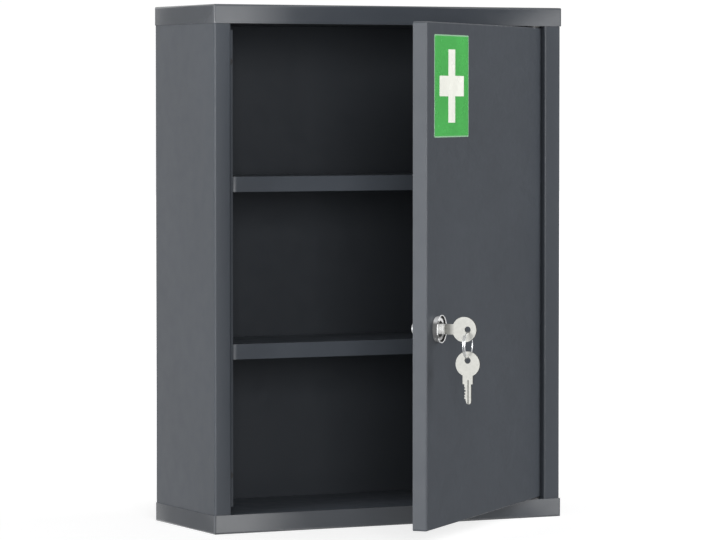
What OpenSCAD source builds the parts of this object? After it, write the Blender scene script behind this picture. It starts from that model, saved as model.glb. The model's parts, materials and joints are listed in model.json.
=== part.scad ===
// Wall cabinet for medicines: folded sheet steel body, two shelves, an inset pan door on pivot pins,
// a cam lock with its key, and a spare key on a wire ring.
// Units are millimetres. The origin is the centre of the underside, +Z is up and the front faces -Y.

/* [Cabinet] */
// Overall width, across the caps
cabinet_w = 374; // [340:1:420]
// Overall depth, across the caps
cabinet_d = 140; // [120:1:180]
// Overall height
cabinet_h = 500; // [440:1:620]
// Sheet steel thickness
sheet = 1; // [0.8:0.1:1.2]
// Outside radius of every bend in the sheet
bend_r = 2; // [1.6:0.1:2.6]

/* [Caps] */
// Height of the top and bottom caps
cap_h = 18; // [15:0.5:24]
// Height of the inner trays' upturned flanges
tray_flange_h = 12; // [8:0.5:13]

/* [Posts] */
// Width of the front flange of each side panel
post_w = 17.5; // [15:0.5:22]
// Depth of the rebate that the door closes into
rebate_d = 16.5; // [16:0.5:20]
// Reach of the stop lip beyond the flange
lip_w = 9; // [6:0.5:11]
// Length cut from each end of the stop lip
lip_trim = 6; // [3:0.5:12]

/* [Back] */
// Depth of the back panel's folded edges
back_flange_d = 12; // [8:0.5:20]
// Distance between the wall screws, side to side
wall_hole_dx = 300; // [240:5:310]
// Distance between the wall screws, up and down
wall_hole_dz = 400; // [320:5:420]
// Diameter of the holes for the wall screws
wall_hole_d = 7; // [5:0.5:9]

/* [Shelves] */
// Height of a shelf's folded front
shelf_h = 14.5; // [12:0.5:20]
// Distance from the cabinet's front to the shelf's front
shelf_front = 30; // [26:0.5:45]
// Radius of the shelf's front corners
shelf_corner_r = 8; // [4:0.5:12]
// Distance from the cabinet's side to the front part of the shelf
shelf_notch_w = 30; // [29:0.5:36]
// Depth of the notch at the shelf's front corners
shelf_notch_d = 14; // [13:0.5:20]
// Gap between a shelf and the walls round it
shelf_gap = 1; // [0.5:0.1:2]
// Width of the shelf's turned-in lower lip
shelf_lip = 8; // [5:0.5:12]
// Leg of the angle rails that carry the shelves
rail_leg = 11; // [8:0.5:16]
// Distance from the shelf's notch to the rails' front ends
rail_front_gap = 4; // [2:0.5:10]
// Distance from the rails' rear ends to the back panel's folded edges
rail_rear_gap = 9; // [2:0.5:20]

/* [Door] */
// Thickness of the pan door
door_t = 14; // [13:0.5:14]
// Gap at the door's free edge
free_gap = 1.5; // [1:0.1:2.5]
// Gap at the door's hinge edge
hinge_gap = 2.8; // [2.7:0.1:4]
// Gap above and below the door
end_gap = 1.5; // [1.4:0.1:2.5]
// Width of the door's turned-in rear lip
door_lip = 12; // [9:0.5:14]
// Angle that the door stands open
door_open = 43; // [0:1:104]
// Distance of the pivot from the door's edge and from its front
pivot_inset = 6; // [5:0.1:6.2]
// Width of the raised part of the door stiffener
stiffener_w = 40; // [30:1:60]
// Width of the stiffener's flanges
stiffener_flange = 14; // [10:0.5:20]

/* [Pivots] */
// Diameter of the pivot pins
pin_d = 5; // [4:0.1:6]
// Diameter of the pin's head inside the door
pin_head_d = 8; // [7:0.1:8.2]
// Thickness of the pin's head
pin_head_t = 2; // [1.5:0.1:3]
// Running clearance round the pin
pin_clearance = 0.05; // [0.02:0.01:0.1]
// Wall of the bush
bush_wall = 1.5; // [1.2:0.1:2]
// Height of the bush above the sheet that holds it
bush_h = 4; // [3:0.5:6]
// Diameter of the bush's flange
bush_flange_d = 11; // [9.5:0.1:12]
// Gap between the door and the bush's flange
bush_gap = 0.3; // [0.2:0.1:0.6]
// Diameter of the rubber door buffers
buffer_d = 7; // [5:0.5:8]

/* [Lock] */
// Height of the lock's centre above the underside
lock_z = 202; // [120:0.5:380]
// Distance of the lock's centre from the door's free edge
lock_inset = 25; // [22:0.5:34]
// Diameter of the lock's bezel at the door
bezel_base_d = 22.6; // [22:0.1:24]
// Largest diameter of the lock's bezel
bezel_d = 25.7; // [25.4:0.1:28]
// Height of the lock's bezel
bezel_h = 5.6; // [5:0.1:7]
// Diameter of the housing's flange inside the bezel
flange_d = 19.6; // [19.2:0.1:20]
// Thickness of the housing's flange
flange_t = 1.6; // [1.2:0.1:2]
// Outer diameter of the bezel's raised inner ring
inner_ring_d = 21.2; // [20.6:0.1:21.8]
// Diameter of the opening inside the bezel's inner ring
bezel_bore_d = 14.4; // [13:0.1:16]
// Height of the bezel's inner ring
inner_ring_h = 3.9; // [3.4:0.1:4.4]
// Width of the bezel's rim
rim_w = 0.8; // [0.6:0.1:1]
// Height of the groove's floor, between the rim and the inner ring
groove_floor_h = 2.3; // [2:0.1:2.8]
// Diameter of the threaded barrel
barrel_d = 18; // [17.5:0.1:18.5]
// Length of the barrel behind the door's face
barrel_l = 18; // [17.8:0.1:22]
// Width across the barrel's flats
barrel_flats = 16; // [15:0.1:17]
// Diameter of the turning plug
plug_d = 9.4; // [9.2:0.1:12]
// Height of the plug above the door's face
plug_h = 8; // [7:0.1:8.3]
// Width of the nut across its flats
nut_flats = 23; // [22:0.5:25]
// Thickness of the nut
nut_t = 4; // [3:0.5:6]
// Thickness of the washer under the nut
washer_t = 0.8; // [0.5:0.1:1.5]
// Width of the cam
cam_w = 13; // [11:0.5:14]
// Reach of the cam from the lock's centre
cam_reach = 27; // [25:0.5:29]
// Thickness of the cam
cam_t = 2; // [1.5:0.1:3]
// Width of the square that drives the cam
cam_square = 6.5; // [6:0.1:7]
// Diameter of the cam screw's head
screw_head_d = 9; // [8:0.1:10]
// Height of the cam screw's head
screw_head_h = 2.4; // [2:0.1:4]
// Diameter of the cam screw's shank
screw_d = 4; // [3:0.5:4.5]
// Length of the cam screw's shank inside the plug
screw_depth = 6; // [4:0.5:7]

/* [Keys] */
// Diameter of the key's bow
bow_d = 23; // [20:0.5:25]
// Diameter of the hole in the bow
bow_hole_d = 5.8; // [5.4:0.1:6.4]
// Distance from the bow's centre to its hole
bow_hole_offset = 3.3; // [2.5:0.1:4]
// Width of the key's shoulder
shoulder_w = 9.5; // [8.5:0.1:11]
// Length of the shoulder, out of the bow
shoulder_l = 7.8; // [6:0.1:10]
// Width of the blade
blade_w = 6.4; // [5.5:0.1:7]
// Length of the blade
blade_l = 18.2; // [16:0.1:20]
// Thickness of the key
key_t = 2; // [1.6:0.1:2.4]
// Width of the groove along the blade
groove_w = 1.1; // [0.8:0.1:1.6]
// Depth of the groove on each side
groove_depth = 0.5; // [0.3:0.1:0.6]
// Distance of the groove from the blade's middle
groove_x = 0.5; // [0:0.1:1]
// Clearance of the key in its keyway
keyway_clearance = 0.15; // [0.1:0.05:0.2]
// Gap between the key's shoulder and the plug
shoulder_gap = 0.6; // [0.2:0.1:2]
// Diameter of the ring's wire
wire_d = 1.2; // [1:0.1:1.4]
// Diameter of the ring, through the middle of its wire
ring_d = 24; // [22:0.5:30]
// Angle over which the ring's ends lie side by side
ring_overlap = 96; // [60:2:140]
// Clearance between the ring's wire and a key's hole
ring_clearance = 0.3; // [0.2:0.05:0.4]
// Gap between the ring's two ends where they lie side by side
strand_gap = 0.5; // [0.45:0.05:0.8]

/* [Hidden] */
$fn = 48;
bend_steps = 6;
cut = 1;
tight = 0.3;

front_y = -cabinet_d / 2;
body_w = cabinet_w - 2 * sheet;
body_d = cabinet_d - 2 * sheet;
body_front = front_y + sheet;
body_back = -body_front;
body_bottom = cap_h;
body_top = cabinet_h - cap_h;
body_h = body_top - body_bottom;
wall_in = body_w / 2 - sheet;
opening_half = body_w / 2 - post_w;
opening_w = 2 * opening_half;

shelf_clear = (body_h - 2 * shelf_h) / 3;
lower_shelf_z = body_bottom + shelf_clear;
upper_shelf_z = lower_shelf_z + shelf_h + shelf_clear;

door_w = opening_w - free_gap - hinge_gap;
door_left = -opening_half + free_gap;
door_right = opening_half - hinge_gap;
door_front = body_front;
door_bottom = body_bottom + end_gap;
door_h = body_h - 2 * end_gap;
door_top = door_bottom + door_h;
pivot_x = door_right - pivot_inset;
pivot_y = door_front + pivot_inset;
bush_flange_t = end_gap - bush_gap;
pin_top = body_top + sheet + bush_h - cut;
pin_bore_d = pin_d + 2 * pin_clearance;
bush_d = pin_bore_d + 2 * bush_wall;
bush_hole_d = bush_d + 2 * pin_clearance;
buffer_t = rebate_d - door_t - tight;
buffer_x = -opening_half + lip_w / 2;
buffer_dz = body_h - 2 * lip_trim - 60;

lock_x = door_left + lock_inset;
plug_r = plug_d / 2;
plug_gap = 0.1;
bezel_gap = 0.05;
barrel_end = -barrel_l;
cam_back = barrel_end - tight - cam_t;
lock_bore = barrel_d + 0.4;

key_shoulder_n = plug_h + shoulder_gap;
bow_n = key_shoulder_n + shoulder_l + sqrt(pow(bow_d / 2, 2) - pow(shoulder_w / 2, 2));
hole_n = bow_n + bow_hole_offset;
wire_drop = bow_hole_d / 2 - wire_d / 2 - ring_clearance;
spare_hole_drop = 2 * wire_drop + ring_d;
ring_steps = 56;
ring_sides = 8;
ring_flat = 100;

paint = "#4b4f55";
steel = "#b9bbbe";
chrome = "#d8dadd";

// One side of a strip folded along pts with square bends: off is the distance to the left of the line
function unit(v) = v / norm(v);
function left_of(u) = [-u[1], u[0]];
function bend(a, b, c, r, off) =
    let (u = unit(b - a),
         v = unit(c - b),
         turn = u[0] * v[1] - u[1] * v[0],
         centre = b - u * r + v * r,
         arc_r = r - sign(turn) * off)
    [for (i = [0:bend_steps])
        let (t = 90 * i / bend_steps)
        centre - v * arc_r * cos(t) + u * arc_r * sin(t)];
function strip_side(pts, r, off) =
    let (n = len(pts),
         first = unit(pts[1] - pts[0]),
         last = unit(pts[n - 1] - pts[n - 2]))
    concat([pts[0] + left_of(first) * off],
           [for (i = [1:n - 2]) each bend(pts[i - 1], pts[i], pts[i + 1], r, off)],
           [pts[n - 1] + left_of(last) * off]);
function reversed(list) = [for (i = [len(list) - 1:-1:0]) list[i]];

// Cross-section of a folded sheet whose middle line runs through pts
module folded(pts) {
    r = bend_r - sheet / 2;
    polygon(concat(strip_side(pts, r, sheet / 2), reversed(strip_side(pts, r, -sheet / 2))));
}

// Rectangle with its lower left corner at the origin and round corners
module round_rect(w, h, r) {
    translate([r, 0]) square([w - 2 * r, h]);
    translate([0, r]) square([w, h - 2 * r]);
    for (x = [r, w - r], y = [r, h - r])
        translate([x, y]) circle(r);
}

// Block with round vertical corners and round upper edges, centred in plan, standing on z = 0
module round_block(w, d, h, r) {
    intersection() {
        translate([-w / 2, -d / 2, 0]) linear_extrude(h) round_rect(w, d, r);
        translate([0, d / 2, 0]) rotate([90, 0, 0]) linear_extrude(d)
            translate([-w / 2, -h]) round_rect(w, 2 * h, r);
        translate([-w / 2, 0, 0]) rotate([90, 0, 90]) linear_extrude(w)
            translate([-d / 2, -h]) round_rect(d, 2 * h, r);
    }
}

// Tray with its open side down, standing on z = 0
module tray(w, d, h) {
    difference() {
        round_block(w, d, h, bend_r);
        translate([0, 0, -cut])
            round_block(w - 2 * sheet, d - 2 * sheet, h - sheet + cut, bend_r - sheet);
    }
}

// Turns children upside down about half the cabinet's height
module flipped() {
    translate([0, 0, cabinet_h]) mirror([0, 0, 1]) children();
}

// Swings children, drawn with the door shut, to where the open door holds them
module on_door() {
    translate([pivot_x, pivot_y, 0]) rotate([0, 0, door_open])
        translate([-pivot_x, -pivot_y, 0]) children();
}

// Puts children at the lock on the open door: local Z points out of the door and local Y is up
module at_lock() {
    on_door() translate([lock_x, door_front, lock_z]) rotate([90, 0, 0]) children();
}

module top_cap() {
    color(paint) translate([0, 0, body_top]) tray(cabinet_w, cabinet_d, cap_h);
}

module bottom_cap() {
    color(paint) flipped() translate([0, 0, body_top]) tray(cabinet_w, cabinet_d, cap_h);
}

// Inner tray that closes the top cap and holds the bush
module inner_tray() {
    difference() {
        translate([0, 0, body_top + tray_flange_h]) mirror([0, 0, 1])
            tray(body_w, body_d, tray_flange_h);
        translate([pivot_x, pivot_y, body_top - cut])
            cylinder(d = bush_hole_d, h = sheet + 2 * cut);
    }
}

module ceiling_panel() {
    color(paint) inner_tray();
}

module floor_panel() {
    color(paint) flipped() inner_tray();
}

// Side panel with its front flange, door rebate and stop lip
module side_panel() {
    m = sheet / 2;
    x0 = -body_w / 2 + m;
    x1 = -opening_half - m;
    y0 = body_front + m;
    y1 = body_front + rebate_d + m;
    wall_and_rebate = [[x0, body_back], [x0, y0], [x1, y0], [x1, y1]];
    translate([0, 0, body_bottom]) linear_extrude(body_h)
        intersection() {
            folded(concat(wall_and_rebate, [[x1 + lip_w, y1]]));
            translate([-body_w / 2, body_front]) square([post_w, body_d]);
        }
    translate([0, 0, body_bottom + lip_trim]) linear_extrude(body_h - 2 * lip_trim)
        folded(concat(wall_and_rebate, [[x1 + m + lip_w, y1]]));
}

module left_side_panel() {
    color(paint) side_panel();
}

module right_side_panel() {
    color(paint) mirror([1, 0, 0]) side_panel();
}

// Back panel whose side edges fold forward along the cabinet's sides
module back_panel() {
    m = sheet / 2;
    x = wall_in - m;
    y0 = body_back - back_flange_d;
    y1 = body_back - m;
    color(paint) difference() {
        translate([0, 0, body_bottom]) linear_extrude(body_h)
            folded([[-x, y0], [-x, y1], [x, y1], [x, y0]]);
        for (x = [-1, 1], z = [-1, 1])
            translate([x * wall_hole_dx / 2, body_back - sheet - cut, cabinet_h / 2 + z * wall_hole_dz / 2])
                rotate([-90, 0, 0]) cylinder(d = wall_hole_d, h = sheet + 2 * cut);
    }
}

// Plan of a shelf, drawn smaller all round by inset
module shelf_plan(inset) {
    front_half = cabinet_w / 2 - shelf_notch_w - inset;
    rear_half = wall_in - sheet - shelf_gap - inset;
    y0 = front_y + shelf_front + inset;
    y1 = front_y + shelf_front + shelf_notch_d + inset;
    y2 = body_back - sheet - shelf_gap - inset;
    r = max(shelf_corner_r - inset, sheet);
    translate([-front_half, y0 + r]) square([2 * front_half, y2 - y0 - r]);
    translate([-front_half + r, y0]) square([2 * (front_half - r), r]);
    for (x = [-1, 1])
        translate([x * (front_half - r), y0 + r]) circle(r);
    translate([-rear_half, y1]) square([2 * rear_half, y2 - y1]);
}

// Shelf with a folded edge and a turned-in lip, its underside at z = 0
module shelf() {
    difference() {
        linear_extrude(shelf_h) shelf_plan(0);
        translate([0, 0, sheet]) linear_extrude(shelf_h - 2 * sheet) shelf_plan(sheet);
        translate([0, 0, -cut]) linear_extrude(2 * cut + sheet) shelf_plan(shelf_lip);
    }
}

module upper_shelf() {
    color(paint) translate([0, 0, upper_shelf_z]) shelf();
}

module lower_shelf() {
    color(paint) translate([0, 0, lower_shelf_z]) shelf();
}

// Angle rail on the left wall whose upper face is at the height z
module rail(z) {
    m = sheet / 2;
    y0 = front_y + shelf_front + shelf_notch_d + rail_front_gap;
    y1 = body_back - back_flange_d - rail_rear_gap;
    translate([-wall_in, y0, z])
        rotate([90, 0, 180]) mirror([1, 0, 0]) linear_extrude(y1 - y0)
            folded([[m, -rail_leg], [m, -m], [rail_leg, -m]]);
}

module upper_left_rail() {
    color(paint) rail(upper_shelf_z);
}

module upper_right_rail() {
    color(paint) mirror([1, 0, 0]) rail(upper_shelf_z);
}

module lower_left_rail() {
    color(paint) rail(lower_shelf_z);
}

module lower_right_rail() {
    color(paint) mirror([1, 0, 0]) rail(lower_shelf_z);
}

// Flanged bush in the ceiling panel, round the upper pin
module bush() {
    translate([pivot_x, pivot_y, body_top]) difference() {
        union() {
            translate([0, 0, -bush_flange_t]) cylinder(d = bush_flange_d, h = bush_flange_t);
            cylinder(d = bush_d, h = sheet + bush_h);
        }
        translate([0, 0, -bush_flange_t - cut])
            cylinder(d = pin_bore_d, h = bush_flange_t + sheet + bush_h + 2 * cut);
    }
}

module upper_hinge_bush() {
    color("white") bush();
}

module lower_hinge_bush() {
    color("white") flipped() bush();
}

module door_buffers() {
    color("#222222") for (z = [-1, 1])
        translate([buffer_x, body_front + rebate_d, cabinet_h / 2 + z * buffer_dz / 2])
            rotate([90, 0, 0]) cylinder(d = buffer_d, h = buffer_t);
}

// Upper pivot pin, with its head inside the door
module pin() {
    translate([pivot_x, pivot_y, door_top - sheet - pin_head_t]) cylinder(d = pin_head_d, h = pin_head_t);
    translate([pivot_x, pivot_y, door_top - sheet - pin_head_t])
        cylinder(d = pin_d, h = pin_top - door_top + sheet + pin_head_t);
}

module upper_hinge_pin() {
    color(steel) on_door() pin();
}

module lower_hinge_pin() {
    color(steel) on_door() flipped() pin();
}

// Pan door: a skin with four folded edges and turned-in rear lips
module door_panel() {
    w = door_w;
    centre = [(door_left + door_right) / 2, door_front + door_t, cabinet_h / 2];
    color(paint) on_door() difference() {
        translate(centre) rotate([90, 0, 0]) difference() {
            round_block(w, door_h, door_t, bend_r);
            translate([0, 0, sheet])
                round_block(w - 2 * sheet, door_h - 2 * sheet, door_t - 2 * sheet, bend_r - sheet);
            translate([-w / 2 + door_lip, -door_h / 2 + door_lip, -cut])
                cube([w - 2 * door_lip, door_h - 2 * door_lip, sheet + 2 * cut]);
        }
        translate([lock_x, door_front - cut, lock_z]) rotate([-90, 0, 0]) intersection() {
            cylinder(d = lock_bore, h = 2 * cut + sheet);
            translate([-lock_bore / 2, -barrel_flats / 2 - plug_gap, 0])
                cube([lock_bore, barrel_flats + 2 * plug_gap, 2 * cut + sheet]);
        }
        translate([pivot_x, pivot_y, door_bottom - cut]) cylinder(d = pin_bore_d, h = door_h + 2 * cut);
    }
}

// Hat-section stiffener up the middle of the door, against the skin
module door_stiffener() {
    m = sheet / 2;
    x0 = stiffener_w / 2;
    x1 = x0 + stiffener_flange;
    y0 = door_front + sheet + m;
    y1 = door_front + door_t - sheet - tight - m;
    z0 = sheet + pin_head_t;
    color(paint) on_door() translate([(door_left + door_right) / 2, 0, door_bottom + z0])
        linear_extrude(door_h - 2 * z0)
            folded([[-x1, y0], [-x0, y0], [-x0, y1], [x0, y1], [x0, y0], [x1, y0]]);
}

// Lock housing: a flange at the door's face and a threaded barrel with two flats
module lock_housing() {
    bore_r = plug_r + plug_gap;
    color(chrome) at_lock() difference() {
        union() {
            cylinder(d = flange_d, h = flange_t);
            translate([0, 0, barrel_end]) intersection() {
                cylinder(d = barrel_d, h = barrel_l);
                translate([-barrel_d / 2, -barrel_flats / 2, 0]) cube([barrel_d, barrel_flats, barrel_l]);
            }
        }
        translate([0, 0, barrel_end - cut]) cylinder(r = bore_r, h = barrel_l + flange_t + 2 * cut);
    }
}

// Flared bezel pressed over the housing's flange, with a rim, a groove and a raised inner ring
module lock_bezel() {
    seat_r = flange_d / 2 + bezel_gap;
    rim_r = bezel_d / 2;
    ring_r = inner_ring_d / 2;
    bore_r = bezel_bore_d / 2;
    profile = [
        [seat_r, 0], [bezel_base_d / 2, 0],
        [rim_r - 0.4, bezel_h - 1.5], [rim_r, bezel_h - 0.8], [rim_r - 0.1, bezel_h - 0.2],
        [rim_r - 0.4, bezel_h], [rim_r - rim_w, bezel_h - 0.3],
        [rim_r - rim_w - 0.6, groove_floor_h], [ring_r + 0.2, groove_floor_h],
        [ring_r, inner_ring_h - 0.5], [ring_r - 0.6, inner_ring_h], [bore_r + 0.6, inner_ring_h],
        [bore_r, inner_ring_h - 0.5], [bore_r, flange_t], [seat_r, flange_t]
    ];
    color(chrome) at_lock() rotate_extrude() polygon(profile);
}

module lock_washer() {
    color(steel) at_lock() translate([0, 0, -sheet - washer_t]) difference() {
        cylinder(d = nut_flats, h = washer_t);
        translate([0, 0, -cut]) cylinder(d = lock_bore, h = washer_t + 2 * cut);
    }
}

module lock_nut() {
    color(steel) at_lock() translate([0, 0, -sheet - washer_t - nut_t]) difference() {
        cylinder(d = nut_flats / cos(30), h = nut_t, $fn = 6);
        translate([0, 0, -cut]) cylinder(d = barrel_d + 2 * plug_gap, h = nut_t + 2 * cut);
    }
}

// Turning plug with its keyway, the square for the cam and the hole for its screw
module lock_plug() {
    slot_w = blade_w + 2 * keyway_clearance;
    slot_t = key_t + 2 * keyway_clearance;
    slot_l = blade_l - shoulder_gap + 0.5;
    color(chrome) at_lock() difference() {
        union() {
            translate([0, 0, barrel_end - tight]) cylinder(r = plug_r, h = barrel_l + tight + plug_h);
            translate([-cam_square / 2, -cam_square / 2, cam_back + 0.1])
                cube([cam_square, cam_square, cam_t]);
        }
        translate([-slot_t / 2, -slot_w / 2, plug_h - slot_l]) cube([slot_t, slot_w, slot_l + cut]);
        translate([0, 0, cam_back - cut]) cylinder(d = screw_d, h = screw_depth + cut);
    }
}

// Cam that turns behind the stop lip, pointing up while unlocked
module lock_cam() {
    color(steel) at_lock() translate([0, 0, cam_back]) difference() {
        linear_extrude(cam_t) {
            circle(d = cam_w);
            translate([-cam_w / 2, 0]) square([cam_w, cam_reach - cam_w / 2]);
            translate([0, cam_reach - cam_w / 2]) circle(d = cam_w);
        }
        translate([-cam_square / 2 - 0.05, -cam_square / 2 - 0.05, -cut])
            cube([cam_square + 0.1, cam_square + 0.1, cam_t + 2 * cut]);
    }
}

module cam_screw() {
    cross_l = 4.8;
    cross_w = 1;
    cross_depth = 1.2;
    head_n = cam_back - screw_head_h;
    color(chrome) at_lock() {
        difference() {
            translate([0, 0, head_n]) cylinder(d = screw_head_d, h = screw_head_h);
            for (a = [0, 90])
                rotate([0, 0, a]) translate([-cross_l / 2, -cross_w / 2, head_n - cut])
                    cube([cross_l, cross_w, cut + cross_depth]);
        }
        translate([0, 0, cam_back - 0.01]) cylinder(d = screw_d - 0.1, h = screw_depth - 0.5);
    }
}

// Outline of a key with its bow's hole at the origin and its blade along -Y
module key_outline() {
    bow_y = -bow_hole_offset;
    shoulder_y = bow_y - (bow_n - key_shoulder_n);
    tip_y = shoulder_y - blade_l;
    tip_r = blade_w / 2 - 0.9;
    difference() {
        union() {
            translate([0, bow_y]) circle(d = bow_d);
            translate([-shoulder_w / 2, shoulder_y]) square([shoulder_w, bow_y - shoulder_y]);
            translate([-blade_w / 2, tip_y + blade_w / 2]) square([blade_w, shoulder_y - tip_y]);
            translate([-blade_w / 2 + 1.8, tip_y + tip_r]) square([blade_w - 1.8, blade_w]);
            translate([0.9, tip_y + tip_r]) circle(tip_r);
        }
        circle(d = bow_hole_d);
        for (i = [0:4])
            translate([-blade_w / 2 - 0.6, shoulder_y - 3.4 - i * 2.7])
                polygon([[0, 1.5], [0, -1.5], [0.4 + notch_depth(i), -0.4], [0.4 + notch_depth(i), 0.4]]);
    }
}

// Depth of the bitting cuts, shallow and deep by turns
function notch_depth(i) = 0.9 + 0.35 * ((i * 2) % 3);

// Key standing in the local XY plane, with its hole at the origin and the blade down
module key() {
    groove_l = blade_l + shoulder_l / 2;
    end_y = -bow_hole_offset - (bow_n - key_shoulder_n) - blade_l;
    difference() {
        translate([0, 0, -key_t / 2]) linear_extrude(key_t) key_outline();
        for (side = [0, 1])
            mirror([0, 0, side]) translate([groove_x - groove_w / 2, end_y - cut, key_t / 2 - groove_depth])
                cube([groove_w, groove_l + cut, groove_depth + cut]);
    }
}

// Hangs a key below the lock key's hole, square to the door, with its cuts towards the door
module hung(drop) {
    at_lock() translate([0, -drop, hole_n]) rotate([0, -90, 0]) children();
}

module lock_key() {
    color(steel) at_lock() translate([0, 0, hole_n]) rotate([0, 90, 0]) rotate([0, 0, 90]) key();
}

module spare_key() {
    color(steel) hung(spare_hole_drop) key();
}

// Middle line of the ring's wire: a ring whose ends lie side by side, in the local XY plane
function ring_point(i) =
    let (a = -180 - ring_overlap / 2 + (360 + ring_overlap) * i / ring_steps,
         ramp = (abs(a) - ring_flat) / (180 - ring_overlap / 2 - ring_flat),
         shift = sign(a) * (wire_d + strand_gap) / 2 * min(max(ramp, 0), 1))
    [cos(a) * ring_d / 2, sin(a) * ring_d / 2, shift];

// Least gap of the wire to itself, half a turn or more apart
ring_gap = min([for (i = [0:ring_steps], j = [0:ring_steps])
    if ((j - i) * (360 + ring_overlap) / ring_steps > 180) norm(ring_point(i) - ring_point(j))]) - wire_d;

module key_ring() {
    echo(ring_gap = ring_gap);
    rings = [for (i = [0:ring_steps])
        let (p = ring_point(i),
             out = unit([p[0], p[1], 0]))
        [for (j = [0:ring_sides - 1])
            let (b = 360 * j / ring_sides)
            p + out * cos(b) * wire_d / 2 + [0, 0, sin(b) * wire_d / 2]]];
    points = [for (r = rings) each r];
    sides = [for (i = [0:ring_steps - 1], j = [0:ring_sides - 1])
        let (k = (j + 1) % ring_sides)
        [i * ring_sides + j, i * ring_sides + k, (i + 1) * ring_sides + k, (i + 1) * ring_sides + j]];
    ends = [
        [for (j = [ring_sides - 1:-1:0]) j],
        [for (j = [0:ring_sides - 1]) ring_steps * ring_sides + j]
    ];
    color(chrome) at_lock() translate([0, -wire_drop - ring_d / 2, hole_n])
        polyhedron(points, concat(sides, ends));
}

top_cap();
ceiling_panel();
bottom_cap();
floor_panel();
left_side_panel();
right_side_panel();
back_panel();
upper_shelf();
lower_shelf();
upper_left_rail();
upper_right_rail();
lower_left_rail();
lower_right_rail();
upper_hinge_bush();
lower_hinge_bush();
door_buffers();
door_panel();
door_stiffener();
upper_hinge_pin();
lower_hinge_pin();
lock_housing();
lock_bezel();
lock_washer();
lock_nut();
lock_plug();
lock_cam();
cam_screw();
lock_key();
key_ring();
spare_key();
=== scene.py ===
"""Looks of a lockable wall cabinet in anthracite powder coat: paint, lock, keys and the green sign."""
import json
import math

import bpy
import numpy as np
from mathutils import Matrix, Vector


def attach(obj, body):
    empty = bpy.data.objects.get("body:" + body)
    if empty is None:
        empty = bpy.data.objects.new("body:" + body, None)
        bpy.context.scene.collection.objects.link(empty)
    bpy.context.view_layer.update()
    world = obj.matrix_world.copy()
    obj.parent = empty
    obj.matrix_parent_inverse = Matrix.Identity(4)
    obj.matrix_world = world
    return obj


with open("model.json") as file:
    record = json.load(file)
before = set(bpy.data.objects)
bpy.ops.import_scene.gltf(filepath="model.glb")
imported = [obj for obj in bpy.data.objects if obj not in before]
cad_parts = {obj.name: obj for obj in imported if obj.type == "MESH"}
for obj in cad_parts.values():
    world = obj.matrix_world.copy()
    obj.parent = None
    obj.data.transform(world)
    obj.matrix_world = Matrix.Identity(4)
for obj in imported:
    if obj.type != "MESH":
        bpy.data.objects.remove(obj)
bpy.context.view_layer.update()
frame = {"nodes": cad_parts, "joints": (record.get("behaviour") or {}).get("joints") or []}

# Camera, in metres and in pixels of a picture 716 wide
IMAGE_W = 716
SENSOR_W = 36.0
FOCAL_PX = 3880.0
CAMERA_PLACE = (-1.6831, -3.3955, 0.4091)
CAMERA_TURN_DEG = -26.35
CAMERA_DIP_DEG = 2.497

# World and floor: what falls on the object, and what is seen behind it
WORLD_LIGHT = 0.30
WORLD_SEEN = 1.03
FLOOR_HALF = 12.0
FLOOR_GREY = 0.62
FLOOR_GLOW_NEAR = 0.63
FLOOR_GLOW_FAR = 1.0
FLOOR_FADE_START = 0.35
FLOOR_FADE_END = 1.6

# Middle of the cabinet, which the lamps face
MIDDLE = (0.0, 0.0, 0.25)

# Colours, linear
ANTHRACITE = (0.046, 0.0525, 0.0625)
SIGN_GREEN = (0.060, 0.40, 0.077)
SIGN_WHITE = (0.89, 0.895, 0.82)
SIGN_BORDER = (0.28, 0.50, 0.31)
NICKEL = (0.32, 0.32, 0.301)
CHROME = (0.82, 0.83, 0.84)
ZINC = (0.42, 0.43, 0.44)
# Near-white plug, used almost without metal: a painted highlight on the lock's plug
PLUG_HIGHLIGHT_WHITE = (0.96, 0.96, 0.94)
RING_STEEL = (0.60, 0.61, 0.62)
# Hinge bushes painted dark as painted shade, for the gap beside the hinge where they sit
NYLON_PAINTED_SHADE = (0.07, 0.07, 0.07)
BLACK_RUBBER = (0.02, 0.02, 0.022)
BLACK = (0.0, 0.0, 0.0)

# How much lighter or darker than anthracite some sheets of the same paint are painted: painted light on the
# shelves, their rails and the floor tray, painted shade on the caps and the inner panels
SHELF_PAINTED_LIGHT = 1.22
CAP_PAINTED_SHADE = 0.93
INNER_PAINTED_SHADE = 0.56
TRAY_PAINTED_LIGHT = 1.4

# Range of the noise values that is used
NOISE_LOW = 0.3
NOISE_HIGH = 0.7

# Bends: points closer than this are one, and edges under this angle are smooth
WELD_DISTANCE = 0.000002
SMOOTH_UNDER_DEG = 32.0

# Lock, whose axis stands on the door's face: a point on it, its way out, and the way beside it to the hinge
LOCK_JOINT = next(joint for joint in frame["joints"] if joint["name"] == "lock_turn")
LOCK_PLACE = LOCK_JOINT["pos_m"]
LOCK_AXIS = LOCK_JOINT["axis"]
LOCK_BESIDE = (-LOCK_AXIS[1], LOCK_AXIS[0], 0.0)

# Head of the lock, in metres. A cone parts its side from its groove: it has the radius PARTING_R at the
# door's face and widens by PARTING_SLOPE for each metre above it
PARTING_R = 0.0112
PARTING_SLOPE = 0.2
# Below this height, inside the parting and past the inner ring, the groove is painted black as painted shade
GROOVE_SHADE_TOP = 0.0051
RIM_FOOT = 0.0046
INNER_RING_R = 0.01055
BORE_R = 0.0075

# Side of the head, with a painted reflection: heights against the axis where it is painted light, its tones,
# and the share by which it is painted lighter inside the parting, as a painted highlight
SKY_HIGHLIGHT_BAND = (0.0050, 0.0080)
GROUND_REFLECTION_BAND = (-0.0070, -0.0095)
SIDE_REFLECTION_TONE = 0.19
SKY_HIGHLIGHT_TONE = 1.0
GROUND_REFLECTION_TONE = 0.40
INSIDE_HIGHLIGHT_GAIN = 0.4

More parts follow.
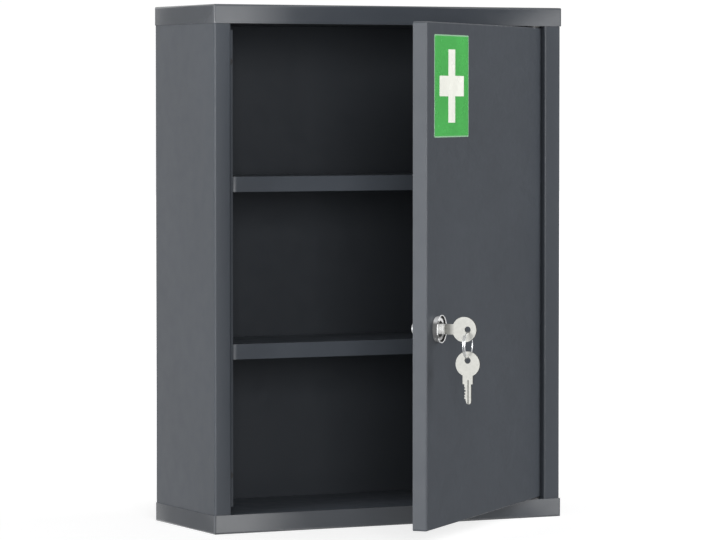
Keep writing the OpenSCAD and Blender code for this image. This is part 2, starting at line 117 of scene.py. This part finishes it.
# Rim of the head, with a painted highlight, and one painted shadow above the axis and one below it on the
# side of the door's free edge
RIM_HIGHLIGHT_TONE = 0.86
RIM_SHADOW = 0.76
SHADOW_BESIDE = -0.002
SHADOW_RISE = 0.0065
SHADOW_HALF = 0.0016

# Lightest tone of the head, the tone of its black, which is painted shade in the groove and the bore, and its
# gloss. The black is rougher by BLACK_ROUGH
HEAD_LIGHTEST = 0.95
HEAD_SHADE_BLACK = 0.012
INSIDE_METALLIC = 0.3
SIDE_ROUGH = 0.30
INSIDE_ROUGH = 0.14
BLACK_ROUGH = 0.3

# Keys, in metres above the door's face: the plug's face with a soft step, where the painted reflection of the
# dark door on the neck in front of it ends, with its tone, and the spare key's groove with its painted shade.
# What is nearer than KEY_FACE to the upright plane through the lock's axis lies below the key's face
PLUG_FACE = (0.0080, 0.0090)
NECK_SHADE_SPAN = (0.0125, 0.0175)
NECK_SHADE_TONE = 0.42
KEY_FACE = 0.00095
SPARE_GROOVE = 0.03067
SPARE_GROOVE_HALF = 0.0006
GROOVE_SHADOW = 0.66

# Door at rest, and the ways along it to the hinge and out of its face
DOOR_OPEN = math.radians(43.0)
DOOR_ALONG = np.array([math.cos(DOOR_OPEN), math.sin(DOOR_OPEN), 0.0])
DOOR_OUT = np.array([math.sin(DOOR_OPEN), -math.cos(DOOR_OPEN), 0.0])

# Sign on the door, in metres: a film, a green print on it and a white cross on that
FILM_W = 0.0945
FILM_H = 0.0936
FILM_CORNER_R = 0.0012
FILM_BORDER = 0.0012
FILM_T = 0.0002
PRINT_T = 0.00006
PRINT_CORNER_R = 0.0006
FILM_FROM_EDGE = 0.0654
FILM_Z = 0.4226
CROSS_SPAN = 0.067
CROSS_ARM = 0.0187
CROSS_T = 0.00008
FILM_ROUGH = 0.25


def make_camera():
    """A long lens from the left front that looks down a little."""
    data = bpy.data.cameras.new("camera")
    data.sensor_width = SENSOR_W
    data.lens = FOCAL_PX * SENSOR_W / IMAGE_W
    data.clip_start = 0.05
    data.clip_end = 60.0
    camera = bpy.data.objects.new("camera", data)
    camera.location = CAMERA_PLACE
    camera.rotation_euler = (math.radians(90.0 - CAMERA_DIP_DEG), 0.0, math.radians(CAMERA_TURN_DEG))
    bpy.context.scene.collection.objects.link(camera)
    bpy.context.scene.camera = camera


def facing(place, target):
    """Turn of a lamp or card at place whose front faces target and whose top is up."""
    return (Vector(target) - Vector(place)).to_track_quat("-Z", "Y")


def lamp(name, place, width, height, watts, in_reflections=False):
    """A rectangular area lamp at place that faces the cabinet's middle."""
    data = bpy.data.lights.new(name, "AREA")
    data.shape = "RECTANGLE"
    data.size = width
    data.size_y = height
    data.energy = watts
    obj = bpy.data.objects.new(name, data)
    obj.location = place
    obj.rotation_euler = facing(place, MIDDLE).to_euler()
    obj.visible_camera = False
    obj.visible_glossy = in_reflections
    bpy.context.scene.collection.objects.link(obj)


def add_mesh(name, points, faces, material):
    """A mesh object whose origin is the scene's and whose place is in its points."""
    mesh = bpy.data.meshes.new(name)
    mesh.from_pydata(points, [], faces)
    mesh.materials.append(material)
    obj = bpy.data.objects.new(name, mesh)
    bpy.context.scene.collection.objects.link(obj)
    return obj


def feed(tree, socket, value):
    """Links a socket's output to an input, or sets the input to a plain value."""
    if isinstance(value, bpy.types.NodeSocket):
        tree.links.new(value, socket)
    else:
        socket.default_value = value


def math_node(tree, operation, *values):
    """One Math node over sockets and plain numbers."""
    node = tree.nodes.new("ShaderNodeMath")
    node.operation = operation
    for socket, value in zip(node.inputs, values):
        feed(tree, socket, value)
    return node.outputs[0]


def vector_node(tree, operation, output, *values):
    """One of the outputs of a Vector Math node over sockets and plain vectors."""
    node = tree.nodes.new("ShaderNodeVectorMath")
    node.operation = operation
    for socket, value in zip(node.inputs, values):
        feed(tree, socket, value)
    return node.outputs[output]


def ranged(tree, value, start, end, low, high):
    """A value that goes from low to high while another goes from start to end."""
    ramp = tree.nodes.new("ShaderNodeMapRange")
    ramp.inputs["From Min"].default_value = start
    ramp.inputs["From Max"].default_value = end
    ramp.inputs["To Min"].default_value = low
    ramp.inputs["To Max"].default_value = high
    tree.links.new(value, ramp.inputs["Value"])
    return ramp.outputs[0]


def spread(tree, value, low, high):
    """A noise value spread over the range low to high."""
    return ranged(tree, value, NOISE_LOW, NOISE_HIGH, low, high)


def between(tree, value, first, second):
    """A colour between first and second."""
    mix = tree.nodes.new("ShaderNodeMix")
    mix.data_type = "RGBA"
    mix.inputs[6].default_value = (*first, 1.0)
    mix.inputs[7].default_value = (*second, 1.0)
    tree.links.new(value, mix.inputs["Factor"])
    return mix.outputs[2]


def shade(colour, factor):
    """A colour made lighter or darker."""
    return tuple(c * factor for c in colour)


def blank_material(name):
    """A new material, its node tree and its Principled shader."""
    material = bpy.data.materials.new(name)
    material.use_nodes = True
    tree = material.node_tree
    return material, tree, tree.nodes["Principled BSDF"]


def place_of(tree):
    """Object coordinates, in metres."""
    return tree.nodes.new("ShaderNodeTexCoord").outputs["Object"]


def noise(tree, scale, detail=2.0, stretch=(1.0, 1.0, 1.0)):
    """Noise over the object's own coordinates, stretched along the axes."""
    mapping = tree.nodes.new("ShaderNodeMapping")
    mapping.inputs["Scale"].default_value = stretch
    tree.links.new(place_of(tree), mapping.inputs["Vector"])
    texture = tree.nodes.new("ShaderNodeTexNoise")
    texture.inputs["Scale"].default_value = scale
    texture.inputs["Detail"].default_value = detail
    tree.links.new(mapping.outputs["Vector"], texture.inputs["Vector"])
    return texture.outputs["Fac"]


def grain(tree, shader, value, strength, depth):
    """Bumps the shader's normal by a noise value, depth metres high."""
    bump = tree.nodes.new("ShaderNodeBump")
    bump.inputs["Strength"].default_value = strength
    bump.inputs["Distance"].default_value = depth
    tree.links.new(value, bump.inputs["Height"])
    tree.links.new(bump.outputs["Normal"], shader.inputs["Normal"])


def card(name, place, target, width, height, levels):
    """An upright studio card that shows in reflections only, as white and black flats do round a product.
    levels lists its brightness as (place across the card from 0 to 1, level) pairs, seen from the object
    from right to left, with soft steps between them."""
    middle = Vector(place)
    turn = facing(place, target)
    right = turn @ Vector((width / 2, 0.0, 0.0))
    up = turn @ Vector((0.0, height / 2, 0.0))
    corners = [middle - right - up, middle + right - up, middle + right + up, middle - right + up]
    material, tree, shader = blank_material(name)
    shader.inputs["Base Color"].default_value = (*BLACK, 1.0)
    shader.inputs["Specular IOR Level"].default_value = 0.0
    split = tree.nodes.new("ShaderNodeSeparateXYZ")
    tree.links.new(tree.nodes.new("ShaderNodeTexCoord").outputs["UV"], split.inputs[0])
    ramp = tree.nodes.new("ShaderNodeValToRGB")
    ramp.color_ramp.interpolation = "EASE"
    brightest = max(level for _, level in levels)
    stops = ramp.color_ramp.elements
    while len(stops) < len(levels):
        stops.new(0.5)
    while len(stops) > len(levels):
        stops.remove(stops[-1])
    for stop, (position, level) in zip(stops, levels):
        stop.position = position
        stop.color = (level / brightest, level / brightest, level / brightest, 1.0)
    tree.links.new(split.outputs["X"], ramp.inputs["Fac"])
    tree.links.new(ramp.outputs["Color"], shader.inputs["Emission Color"])
    shader.inputs["Emission Strength"].default_value = brightest
    flat = add_mesh(name, corners, [(0, 1, 2, 3)], material)
    across = flat.data.uv_layers.new(name="across")
    across.data.foreach_set("uv", [0.0, 0.0, 1.0, 0.0, 1.0, 1.0, 0.0, 1.0])
    flat.visible_camera = False
    flat.visible_diffuse = False
    flat.visible_transmission = False
    flat.visible_shadow = False


def seen_directly(tree):
    """1 for a camera, glossy or transmission ray, 0 for the light that falls on the object."""
    path = tree.nodes.new("ShaderNodeLightPath").outputs
    seen = math_node(tree, "MAXIMUM", path["Is Camera Ray"], path["Is Glossy Ray"])
    return math_node(tree, "MAXIMUM", seen, path["Is Transmission Ray"])


def make_world():
    """White where it is seen, and a soft grey where it lights the object."""
    world = bpy.data.worlds.new("studio")
    world.use_nodes = True
    tree = world.node_tree
    back = tree.nodes["Background"]
    back.inputs["Color"].default_value = (1.0, 1.0, 1.0, 1.0)
    level = ranged(tree, seen_directly(tree), 0.0, 1.0, WORLD_LIGHT, WORLD_SEEN)
    tree.links.new(level, back.inputs["Strength"])
    bpy.context.scene.world = world


def make_floor():
    """A pale floor that keeps the object's shadow and fades to white away from it, where it is seen."""
    material, tree, paint = blank_material("pale_floor")
    paint.inputs["Base Color"].default_value = (FLOOR_GREY, FLOOR_GREY, FLOOR_GREY, 1.0)
    paint.inputs["Roughness"].default_value = 0.9
    paint.inputs["Specular IOR Level"].default_value = 0.0
    paint.inputs["Emission Color"].default_value = (1.0, 1.0, 1.0, 1.0)
    away = vector_node(tree, "LENGTH", "Value", place_of(tree))
    fade = ranged(tree, away, FLOOR_FADE_START, FLOOR_FADE_END, FLOOR_GLOW_NEAR, FLOOR_GLOW_FAR)
    glow = math_node(tree, "MULTIPLY", seen_directly(tree), fade)
    tree.links.new(glow, paint.inputs["Emission Strength"])
    half = FLOOR_HALF
    corners = [(-half, -half, 0.0), (half, -half, 0.0), (half, half, 0.0), (-half, half, 0.0)]
    floor = add_mesh("floor", corners, [(0, 1, 2, 3)], material)
    floor.visible_glossy = False


def powder_coat(name, colour, rough, specular, peel=0.25):
    """Powder coat: orange peel of about a millimetre and a slow drift of tone and gloss. rough is the range
    of its roughness."""
    material, tree, shader = blank_material(name)
    drift = spread(tree, noise(tree, scale=7.0), 0.0, 1.0)
    tint = between(tree, drift, shade(colour, 0.95), shade(colour, 1.06))
    tree.links.new(tint, shader.inputs["Base Color"])
    tree.links.new(spread(tree, noise(tree, scale=60.0), *rough), shader.inputs["Roughness"])
    shader.inputs["Specular IOR Level"].default_value = specular
    grain(tree, shader, noise(tree, scale=1400.0, detail=3.0), strength=peel, depth=0.00004)
    return material


def plated(name, colour, rough, fine, metallic=1.0):
    """Plated metal with fine specks in its gloss. rough is the range of its roughness."""
    material, tree, shader = blank_material(name)
    specks = spread(tree, noise(tree, scale=300.0), 0.0, 1.0)
    tint = between(tree, specks, shade(colour, 0.95), colour)
    tree.links.new(tint, shader.inputs["Base Color"])
    shader.inputs["Metallic"].default_value = metallic
    tree.links.new(spread(tree, noise(tree, scale=900.0), *rough), shader.inputs["Roughness"])
    grain(tree, shader, noise(tree, scale=2500.0), strength=fine, depth=0.00001)
    return material


def plastic(name, colour, roughness):
    """Moulded plastic or rubber with a fine grain."""
    material, tree, shader = blank_material(name)
    specks = spread(tree, noise(tree, scale=120.0), 0.0, 1.0)
    tint = between(tree, specks, shade(colour, 0.92), colour)
    tree.links.new(tint, shader.inputs["Base Color"])
    gloss = spread(tree, noise(tree, scale=500.0), roughness - 0.05, roughness + 0.05)
    tree.links.new(gloss, shader.inputs["Roughness"])
    grain(tree, shader, noise(tree, scale=2000.0), strength=0.2, depth=0.00002)
    return material


def film(name, colour):
    """Printed vinyl: a smooth glossy film with a faint cloudiness."""
    material, tree, shader = blank_material(name)
    cloud = spread(tree, noise(tree, scale=22.0, detail=1.0, stretch=(1.0, 1.0, 0.45)), 0.0, 1.0)
    tint = between(tree, cloud, shade(colour, 0.88), shade(colour, 1.1))
    tree.links.new(tint, shader.inputs["Base Color"])
    gloss = spread(tree, noise(tree, scale=90.0), FILM_ROUGH - 0.04, FILM_ROUGH + 0.04)
    tree.links.new(gloss, shader.inputs["Roughness"])
    grain(tree, shader, noise(tree, scale=700.0), strength=0.1, depth=0.00002)
    return material


def lock_measures(tree):
    """Where a point lies against the lock, in metres: its distance from the axis, its height above the
    door's face, how far it lies beside the axis towards the hinge, and how far above the axis."""
    place = place_of(tree)
    away = vector_node(tree, "SUBTRACT", "Vector", place, LOCK_PLACE)
    height = vector_node(tree, "DOT_PRODUCT", "Value", away, LOCK_AXIS)
    foot = tree.nodes.new("ShaderNodeVectorMath")
    foot.operation = "SCALE"
    foot.inputs[0].default_value = LOCK_AXIS
    tree.links.new(height, foot.inputs["Scale"])
    radius = vector_node(tree, "DISTANCE", "Value", away, foot.outputs[0])
    beside = vector_node(tree, "DOT_PRODUCT", "Value", away, LOCK_BESIDE)
    split = tree.nodes.new("ShaderNodeSeparateXYZ")
    tree.links.new(place, split.inputs[0])
    rise = math_node(tree, "SUBTRACT", split.outputs["Z"], LOCK_PLACE[2])
    return radius, height, beside, rise


def bezel_chrome(name):
    """The lock's head, with painted light: a satin flared side with a painted reflection that is light above
    the axis, darker at its middle and a little light below it, a rim and inner ring with painted highlights
    and two painted shadows on the rim, and black painted shade inside the groove and the bore."""
    material, tree, shader = blank_material(name)
    radius, height, beside, rise = lock_measures(tree)
    parting = math_node(tree, "MULTIPLY_ADD", height, PARTING_SLOPE, PARTING_R)
    inside = math_node(tree, "LESS_THAN", radius, parting)

    # Painted reflection on the side, and a painted highlight inside the parting
    sky_highlight = ranged(tree, rise, *SKY_HIGHLIGHT_BAND, SIDE_REFLECTION_TONE, SKY_HIGHLIGHT_TONE)
    ground_reflection = ranged(tree, rise, *GROUND_REFLECTION_BAND, SIDE_REFLECTION_TONE, GROUND_REFLECTION_TONE)
    side_reflection = math_node(tree, "MAXIMUM", sky_highlight, ground_reflection)
    inside_highlight = math_node(tree, "MULTIPLY_ADD", inside, INSIDE_HIGHLIGHT_GAIN, 1.0)
    side_reflection = math_node(tree, "MULTIPLY", side_reflection, inside_highlight)

    # Painted shadows on the rim, and a painted highlight on the rest of it
    free_side = math_node(tree, "LESS_THAN", beside, SHADOW_BESIDE)
    off_middle = math_node(tree, "COMPARE", math_node(tree, "ABSOLUTE", rise), SHADOW_RISE, SHADOW_HALF)
    shadowed = math_node(tree, "MULTIPLY", free_side, off_middle)
    rim_highlight = math_node(tree, "MULTIPLY_ADD", shadowed, -RIM_SHADOW, RIM_HIGHLIGHT_TONE)

    rim = math_node(tree, "GREATER_THAN", height, RIM_FOOT)
    tone = math_node(tree, "MULTIPLY", side_reflection, math_node(tree, "SUBTRACT", 1.0, rim))
    tone = math_node(tree, "MULTIPLY_ADD", rim, rim_highlight, tone)
    tone = math_node(tree, "MINIMUM", tone, HEAD_LIGHTEST)

    # Painted shade: black in the groove and the bore
    below_rim = math_node(tree, "LESS_THAN", height, GROOVE_SHADE_TOP)
    past_ring = math_node(tree, "GREATER_THAN", radius, INNER_RING_R)
    groove = math_node(tree, "MULTIPLY", math_node(tree, "MULTIPLY", inside, below_rim), past_ring)
    bore = math_node(tree, "LESS_THAN", radius, BORE_R)
    metal = math_node(tree, "SUBTRACT", 1.0, math_node(tree, "MAXIMUM", groove, bore))
    tone = math_node(tree, "MULTIPLY_ADD", tone, metal, HEAD_SHADE_BLACK)
    # Painted light with fine random specks
    painted_light_and_specks = math_node(tree, "MULTIPLY", tone, spread(tree, noise(tree, scale=300.0), 0.94, 1.02))
    tree.links.new(painted_light_and_specks, shader.inputs["Base Color"])

    bright = math_node(tree, "MULTIPLY", metal, inside)
    tree.links.new(math_node(tree, "MULTIPLY", bright, INSIDE_METALLIC), shader.inputs["Metallic"])
    polish = ranged(tree, inside, 0.0, 1.0, SIDE_ROUGH, INSIDE_ROUGH)
    dull = math_node(tree, "ADD", polish, BLACK_ROUGH)
    tree.links.new(math_node(tree, "MULTIPLY_ADD", metal, -BLACK_ROUGH, dull), shader.inputs["Roughness"])
    return material


def key_metal(name, colour, rough):
    """Nickelled key: its neck in front of the lock is painted darker, a painted reflection of the dark door,
    and its groove is painted darker too, as painted shade. rough is the range of its roughness."""
    material, tree, shader = blank_material(name)
    _, height, beside, _ = lock_measures(tree)
    # Painted shade in the spare key's groove
    below_face = math_node(tree, "LESS_THAN", math_node(tree, "ABSOLUTE", beside), KEY_FACE)
    in_line = math_node(tree, "COMPARE", height, SPARE_GROOVE, SPARE_GROOVE_HALF)
    grooved = math_node(tree, "MULTIPLY", below_face, in_line)
    groove = math_node(tree, "MULTIPLY_ADD", grooved, -GROOVE_SHADOW, 1.0)
    # Painted reflection of the dark door on the neck, ending inside the lock
    neck = ranged(tree, height, *NECK_SHADE_SPAN, NECK_SHADE_TONE, 1.0)
    inside_lock = ranged(tree, height, *PLUG_FACE, 1.0, 0.0)
    factor = math_node(tree, "MAXIMUM", neck, inside_lock)
    factor = math_node(tree, "MULTIPLY", factor, groove)
    speck = math_node(tree, "MULTIPLY", spread(tree, noise(tree, scale=300.0), 0.95, 1.0), factor)
    tree.links.new(between(tree, speck, BLACK, colour), shader.inputs["Base Color"])
    shader.inputs["Metallic"].default_value = 1.0
    tree.links.new(spread(tree, noise(tree, scale=900.0), *rough), shader.inputs["Roughness"])
    grain(tree, shader, noise(tree, scale=2500.0), strength=0.1, depth=0.00001)
    return material


def smooth_bends():
    """Modifier group: welds loose triangles and shades the edges of small angles smooth."""
    group = bpy.data.node_groups.new("smooth_bends", "GeometryNodeTree")
    group.interface.new_socket("Geometry", in_out="INPUT", socket_type="NodeSocketGeometry")
    group.interface.new_socket("Geometry", in_out="OUTPUT", socket_type="NodeSocketGeometry")
    start = group.nodes.new("NodeGroupInput")
    end = group.nodes.new("NodeGroupOutput")
    weld = group.nodes.new("GeometryNodeMergeByDistance")
    weld.inputs["Distance"].default_value = WELD_DISTANCE
    faces = group.nodes.new("GeometryNodeSetShadeSmooth")
    faces.domain = "FACE"
    faces.inputs["Shade Smooth"].default_value = True
    edges = group.nodes.new("GeometryNodeSetShadeSmooth")
    edges.domain = "EDGE"
    edges.inputs["Shade Smooth"].default_value = False
    angle = group.nodes.new("GeometryNodeInputMeshEdgeAngle")
    sharp = group.nodes.new("FunctionNodeCompare")
    sharp.data_type = "FLOAT"
    sharp.operation = "GREATER_THAN"
    sharp.inputs[1].default_value = math.radians(SMOOTH_UNDER_DEG)
    group.links.new(start.outputs[0], weld.inputs["Geometry"])
    group.links.new(weld.outputs["Geometry"], faces.inputs["Geometry"])
    group.links.new(faces.outputs["Geometry"], edges.inputs["Geometry"])
    group.links.new(angle.outputs["Unsigned Angle"], sharp.inputs[0])
    group.links.new(sharp.outputs[0], edges.inputs["Selection"])
    group.links.new(edges.outputs["Geometry"], end.inputs[0])
    return group


def dress(names, material):
    """Gives CAD nodes a finish and smooth bends."""
    for name in names:
        node = frame["nodes"][name]
        node.data.materials.clear()
        node.data.materials.append(material)
        node.modifiers.new("smooth_bends", "NODES").node_group = BENDS


def door_free_edge():
    """Foot of the door's free edge, at z = 0: along the door it is where the node ends, and out of the door
    it is on the outer face."""
    mesh = frame["nodes"]["door_panel"].data
    points = np.empty(len(mesh.vertices) * 3, np.float32)
    mesh.vertices.foreach_get("co", points)
    points = points.reshape(-1, 3).astype(float)
    return DOOR_ALONG * (points @ DOOR_ALONG).min() + DOOR_OUT * (points @ DOOR_OUT).max()


def rounded(width, height, radius, steps=4):
    """Corner points of a rectangle with round corners, centred on its middle, anticlockwise: at each corner a
    quarter circle of steps points, whose centre lies one radius in from both sides."""
    turn = np.linspace(0.0, math.pi / 2, steps) + np.arange(4)[:, None] * (math.pi / 2)
    arcs = radius * np.stack([np.cos(turn), np.sin(turn)], axis=2)
    sides = np.array([(1.0, 1.0), (-1.0, 1.0), (-1.0, -1.0), (1.0, -1.0)])
    centres = sides * (width / 2 - radius, height / 2 - radius)
    return (centres[:, None, :] + arcs).reshape(-1, 2)


def cross(span, arm):
    """Corner points of an upright cross centred on its middle, anticlockwise: half the span or half an arm's
    width away from it, each way."""
    s = span / 2
    a = arm / 2
    return np.array([(a, s), (-a, s), (-a, a), (-s, a), (-s, -a), (-a, -a),
                     (-a, -s), (a, -s), (a, -a), (s, -a), (s, a), (a, a)])


def sheet_on_door(name, outline, lift, thickness, material):
    """A thin plate on the door. Its outline lies round the sign's middle, as places along the door and up.
    It is carried lift metres off the skin, with a face towards the viewer, one towards the door and a strip
    round its edge."""
    flat = outline + (FILM_FROM_EDGE, FILM_Z)
    base = FREE_EDGE + np.outer(flat[:, 0], DOOR_ALONG) + np.outer(flat[:, 1], (0.0, 0.0, 1.0))
    near = base + DOOR_OUT * lift
    far = base + DOOR_OUT * (lift + thickness)
    count = len(flat)
    points = np.vstack([near, far])
    here = np.arange(count)
    after = np.roll(here, -1)
    strip = np.column_stack([here, after, count + after, count + here])
    faces = [(count + here).tolist(), here[::-1].tolist()] + strip.tolist()
    piece = add_mesh(name, points.tolist(), faces, material)
    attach(piece, "door")


# Stage
make_camera()
make_world()
make_floor()
lamp("left_lamp", place=(-3.0, -0.9, 0.9), width=1.6, height=1.6, watts=68.0)
lamp("front_lamp", place=(-1.3, -3.4, 0.85), width=1.2, height=1.6, watts=75.0, in_reflections=True)
lamp("right_lamp", place=(2.9, -1.0, 1.1), width=1.6, height=1.6, watts=68.0)
card("cap_card", place=(1.69, -3.4, 1.0), target=(1.69, 0.0, 1.0), width=1.52, height=2.0,
     levels=[(0.0, 3.1), (0.12, 3.1), (0.27, 0.02), (0.79, 0.02), (0.91, 3.1)])
card("low_cap_card", place=(1.69, -3.4, -0.9), target=(1.69, 0.0, -0.9), width=1.52, height=1.8,
     levels=[(0.0, 3.4), (0.12, 3.4), (0.27, 0.55), (0.80, 0.50), (0.92, 3.1)])
card("door_card", place=(2.1, 0.65, 0.2), target=(0.0, -0.17, 0.2), width=2.6, height=3.4,
     levels=[(0.0, 0.15)])
card("side_card", place=(-1.7, 3.4, 0.2), target=(-0.2, 0.0, 0.2), width=0.6, height=3.4,
     levels=[(0.0, 0.42)])
card("edge_card", place=(-2.9, -1.47, 0.2), target=(-0.13, -0.33, 0.2), width=1.8, height=2.8,
     levels=[(0.0, 2.8)])

# Finishes
BENDS = smooth_bends()
dress(["left_side_panel", "right_side_panel"],
      powder_coat("side_paint", ANTHRACITE, rough=(0.34, 0.44), specular=0.35))
dress(["upper_shelf", "lower_shelf",
       "upper_left_rail", "upper_right_rail", "lower_left_rail", "lower_right_rail"],
      powder_coat("shelf_paint", shade(ANTHRACITE, SHELF_PAINTED_LIGHT), rough=(0.34, 0.44), specular=0.35))
dress(["top_cap", "bottom_cap"],
      powder_coat("cap_paint", shade(ANTHRACITE, CAP_PAINTED_SHADE), rough=(0.09, 0.12), specular=0.7, peel=0.05))
dress(["ceiling_panel", "back_panel"],
      powder_coat("inner_paint", shade(ANTHRACITE, INNER_PAINTED_SHADE), rough=(0.45, 0.55), specular=0.3))
dress(["floor_panel"],
      powder_coat("tray_paint", shade(ANTHRACITE, TRAY_PAINTED_LIGHT), rough=(0.45, 0.55), specular=0.3))
dress(["door_panel", "door_stiffener"],
      powder_coat("door_paint", ANTHRACITE, rough=(0.36, 0.46), specular=0.5))
dress(["upper_hinge_bush", "lower_hinge_bush"], plastic("hinge_nylon", NYLON_PAINTED_SHADE, roughness=0.45))
dress(["door_buffers"], plastic("black_rubber", BLACK_RUBBER, roughness=0.7))
dress(["upper_hinge_pin", "lower_hinge_pin", "lock_washer", "lock_nut", "lock_cam", "cam_screw"],
      plated("zinc_steel", ZINC, rough=(0.22, 0.34), fine=0.1))
dress(["lock_bezel"], bezel_chrome("lock_chrome"))
dress(["lock_housing"], plated("housing_chrome", CHROME, rough=(0.14, 0.20), fine=0.05))
dress(["lock_plug"], plated("plug_nickel", PLUG_HIGHLIGHT_WHITE, rough=(0.24, 0.32), fine=0.05, metallic=0.12))
dress(["lock_key", "spare_key"], key_metal("key_nickel", NICKEL, rough=(0.30, 0.42)))
dress(["key_ring"], plated("ring_steel", RING_STEEL, rough=(0.26, 0.34), fine=0.05))

# Sign
FREE_EDGE = door_free_edge()
PRINT_W = FILM_W - 2 * FILM_BORDER
PRINT_H = FILM_H - 2 * FILM_BORDER
sheet_on_door("sign_film", rounded(FILM_W, FILM_H, FILM_CORNER_R),
              lift=0.0, thickness=FILM_T, material=film("film_border", SIGN_BORDER))
sheet_on_door("sign_green", rounded(PRINT_W, PRINT_H, PRINT_CORNER_R),
              lift=FILM_T, thickness=PRINT_T, material=film("green_print", SIGN_GREEN))
sheet_on_door("sign_cross", cross(CROSS_SPAN, CROSS_ARM),
              lift=FILM_T + PRINT_T, thickness=CROSS_T, material=film("white_print", SIGN_WHITE))

scene = bpy.context.scene
scene.view_settings.view_transform = "Standard"
